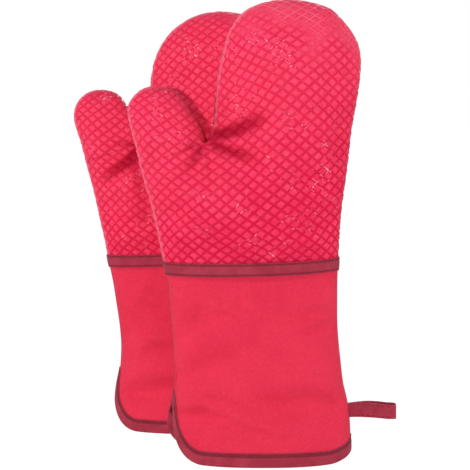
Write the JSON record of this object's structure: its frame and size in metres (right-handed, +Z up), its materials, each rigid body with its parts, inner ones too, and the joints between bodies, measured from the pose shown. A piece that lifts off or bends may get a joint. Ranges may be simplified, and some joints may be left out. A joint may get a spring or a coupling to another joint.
{
  "type": "oven mitts",
  "caption": "Long padded oven mitts: cotton hand parts with a raised silicone diamond grid, plain flared cuffs, taped joins, bound hems and hanging loops.",
  "frame": {"origin": "centre of the pair's footprint, on the surface that both hems stand on", "axes": "+Z up the mitts from hem to fingertips, +X from the thumbs to the little fingers and the hanging loops, -Y out of the palm of the front mitt"},
  "size_m": [0.2462, 0.1648, 0.335],
  "materials": {
    "printed_cotton": "satin",
    "plain_cotton": "matte",
    "burgundy_tape": "matte",
    "wadding": "matte",
    "towelling": "matte"
  },
  "bodies": {
    "front_mitt": {"front_palm_panel": "printed_cotton", "front_palm_cuff": "plain_cotton", "front_palm_wadding": "wadding", "front_palm_lining": "towelling", "front_palm_join_tape": "burgundy_tape", "front_palm_hem_binding": "burgundy_tape", "front_back_panel": "printed_cotton", "front_back_cuff": "plain_cotton", "front_back_wadding": "wadding", "front_back_lining": "towelling", "front_back_join_tape": "burgundy_tape", "front_back_hem_binding": "burgundy_tape"},
    "front_fingers": {"front_fingers_palm_panel": "printed_cotton", "front_fingers_palm_wadding": "wadding", "front_fingers_palm_lining": "towelling", "front_fingers_back_panel": "printed_cotton", "front_fingers_back_wadding": "wadding", "front_fingers_back_lining": "towelling"},
    "front_thumb": {"front_thumb_palm_panel": "printed_cotton", "front_thumb_palm_wadding": "wadding", "front_thumb_palm_lining": "towelling", "front_thumb_back_panel": "printed_cotton", "front_thumb_back_wadding": "wadding", "front_thumb_back_lining": "towelling"},
    "front_loop": {"front_hanging_loop": "burgundy_tape"},
    "rear_mitt": {"rear_palm_panel": "printed_cotton", "rear_palm_cuff": "plain_cotton", "rear_palm_wadding": "wadding", "rear_palm_lining": "towelling", "rear_palm_join_tape": "burgundy_tape", "rear_palm_hem_binding": "burgundy_tape", "rear_back_panel": "printed_cotton", "rear_back_cuff": "plain_cotton", "rear_back_wadding": "wadding", "rear_back_lining": "towelling", "rear_back_join_tape": "burgundy_tape", "rear_back_hem_binding": "burgundy_tape"},
    "rear_fingers": {"rear_fingers_palm_panel": "printed_cotton", "rear_fingers_palm_wadding": "wadding", "rear_fingers_palm_lining": "towelling", "rear_fingers_back_panel": "printed_cotton", "rear_fingers_back_wadding": "wadding", "rear_fingers_back_lining": "towelling"},
    "rear_thumb": {"rear_thumb_palm_panel": "printed_cotton", "rear_thumb_palm_wadding": "wadding", "rear_thumb_palm_lining": "towelling", "rear_thumb_back_panel": "printed_cotton", "rear_thumb_back_wadding": "wadding", "rear_thumb_back_lining": "towelling"},
    "rear_loop": {"rear_hanging_loop": "burgundy_tape"}
  },
  "joints": [
    {"name": "front_fingers_fold", "type": "hinge", "parent": "front_mitt", "child": "front_fingers", "pos_m": [0.04377, -0.07815, 0.2602], "axis": [1, 0, 0], "range_deg": [0, 55], "stiffness_Nm_per_rad": 0.03},
    {"name": "front_thumb_fold", "type": "hinge", "parent": "front_mitt", "child": "front_thumb", "pos_m": [-0.04358, -0.07015, 0.23617], "axis": [0.9361, 0, 0.3518], "range_deg": [0, 45], "stiffness_Nm_per_rad": 0.02},
    {"name": "front_loop_swing", "type": "hinge", "parent": "front_mitt", "child": "front_loop", "pos_m": [0.08809, -0.05, 0.0342], "axis": [0, 0, 1], "range_deg": [-40, 40]},
    {"name": "rear_mitt_slide", "type": "slide", "parent": "front_mitt", "child": "rear_mitt", "axis": [0, 1, 0], "range_m": [0, 0.12]},
    {"name": "rear_fingers_fold", "type": "hinge", "parent": "rear_mitt", "child": "rear_fingers", "pos_m": [-0.00723, 0.07815, 0.2602], "axis": [-1, 0, 0], "range_deg": [0, 55], "stiffness_Nm_per_rad": 0.03},
    {"name": "rear_thumb_fold", "type": "hinge", "parent": "rear_mitt", "child": "rear_thumb", "pos_m": [-0.09458, 0.07015, 0.23617], "axis": [-0.9361, 0, -0.3518], "range_deg": [0, 45], "stiffness_Nm_per_rad": 0.02},
    {"name": "rear_loop_swing", "type": "hinge", "parent": "rear_mitt", "child": "rear_loop", "pos_m": [0.03696, 0.05, 0.0342], "axis": [0, 0, 1], "range_deg": [-40, 40]}
  ]
}
